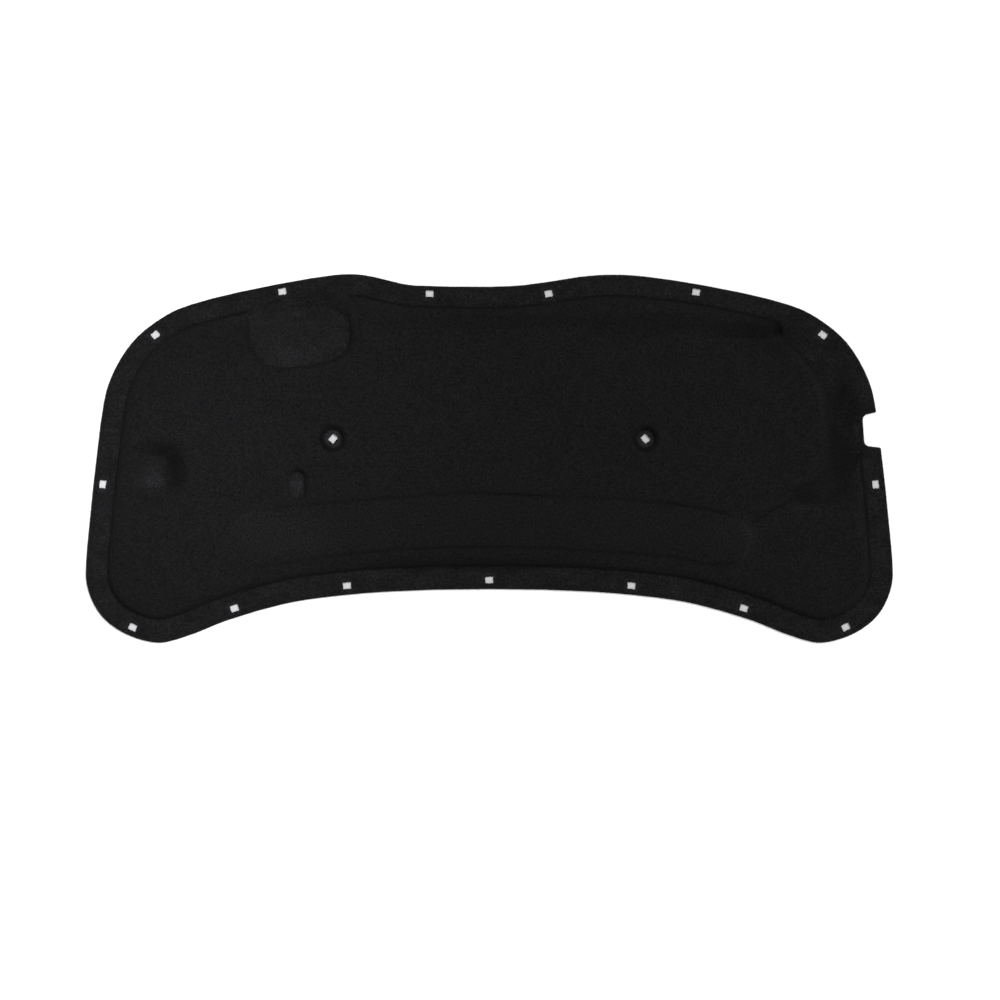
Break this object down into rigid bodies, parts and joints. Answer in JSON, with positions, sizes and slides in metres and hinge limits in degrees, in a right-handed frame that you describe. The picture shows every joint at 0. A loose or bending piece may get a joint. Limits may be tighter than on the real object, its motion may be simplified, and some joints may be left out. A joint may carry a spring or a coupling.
{
  "type": "hood insulation pad",
  "caption": "Moulded black felt pad that clips under a car hood: pressed rim, lofted body with pressed reliefs, die-cut clip holes and a side notch.",
  "frame": {"origin": "centre of the pad in plan, on the plane that the underside of its rim lies on", "axes": "+X to the pad's right seen from the engine side, +Y to the front edge with the two lobes, +Z out of the engine-side face"},
  "size_m": [1.2402, 0.5663, 0.017],
  "materials": {
    "black_felt": "matte felt with a bonded non-woven face"
  },
  "bodies": {
    "root": {"insulation_pad": "black_felt"}
  },
  "joints": []
}
